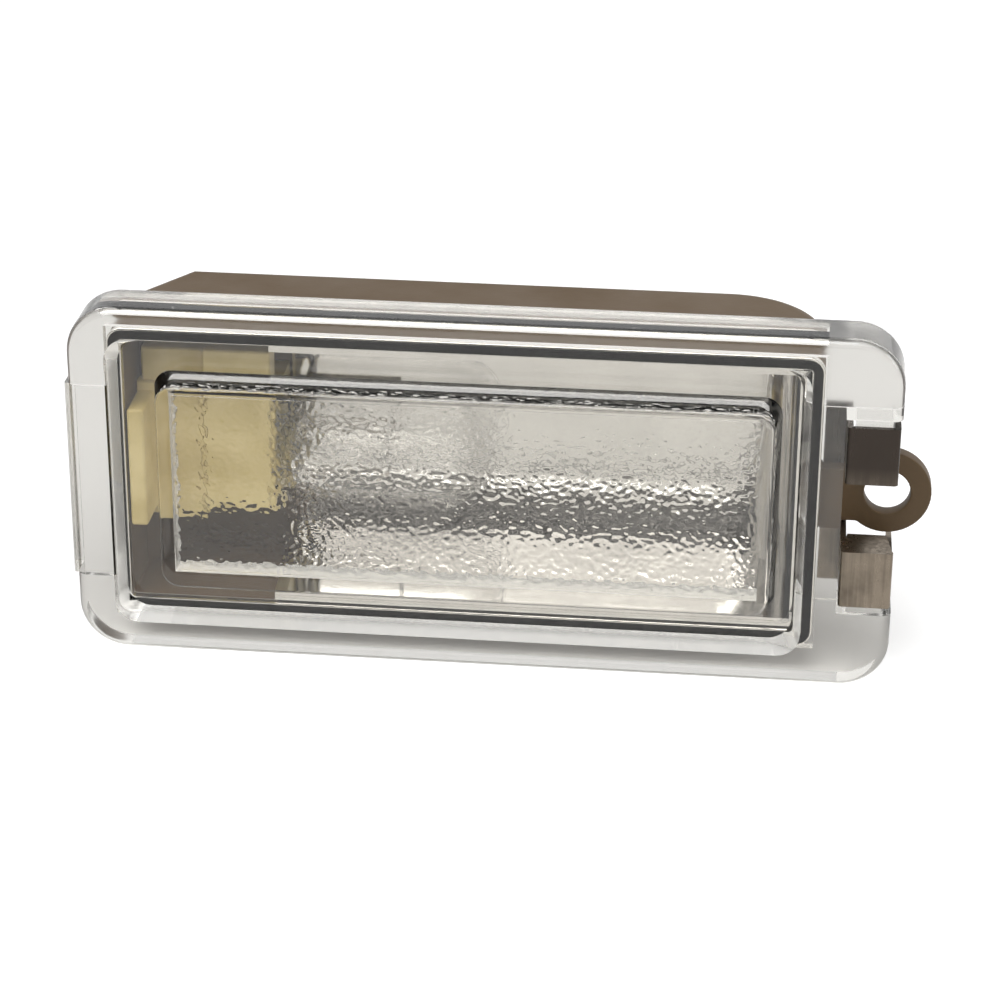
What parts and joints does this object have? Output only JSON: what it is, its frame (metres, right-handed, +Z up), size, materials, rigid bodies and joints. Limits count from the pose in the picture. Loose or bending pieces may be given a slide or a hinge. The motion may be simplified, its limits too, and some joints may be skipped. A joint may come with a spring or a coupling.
{
  "type": "recessed car lamp",
  "caption": "Oblong recessed car lamp: clear framed lens with a raised pebbled window, brown tray housing, wedge bulb, steel spring clip and a fixing ear.",
  "frame": {"origin": "middle of the flange's seat, the plane where the lens frame meets the panel", "axes": "+X along the lamp towards the fixing ear, +Z up, lens looks towards -Y, housing behind the seat towards +Y"},
  "size_m": [0.0785, 0.0282, 0.034],
  "materials": {
    "lens_clear": "clear moulded plastic, polished frame, pebbled window",
    "housing_brown": "satin moulded brown plastic",
    "reflector_bright": "bright metallised plastic",
    "holder_ivory": "moulded ivory plastic, heat-yellowed",
    "contact_brass": "stamped strip",
    "bulb_glass": "clear blown glass",
    "lead_wire": "drawn wire",
    "filament_wire": "drawn tungsten wire",
    "clip_steel": "rolled spring strip, darkened"
  },
  "bodies": {
    "root": {"lens": "lens_clear", "housing": "housing_brown", "reflector": "reflector_bright", "bulb_holder": "holder_ivory", "contact_upper": "contact_brass", "contact_lower": "contact_brass", "bulb_envelope": "bulb_glass", "bulb_lead_wires": "lead_wire", "bulb_filament": "filament_wire", "spring_clip": "clip_steel"}
  },
  "joints": []
}
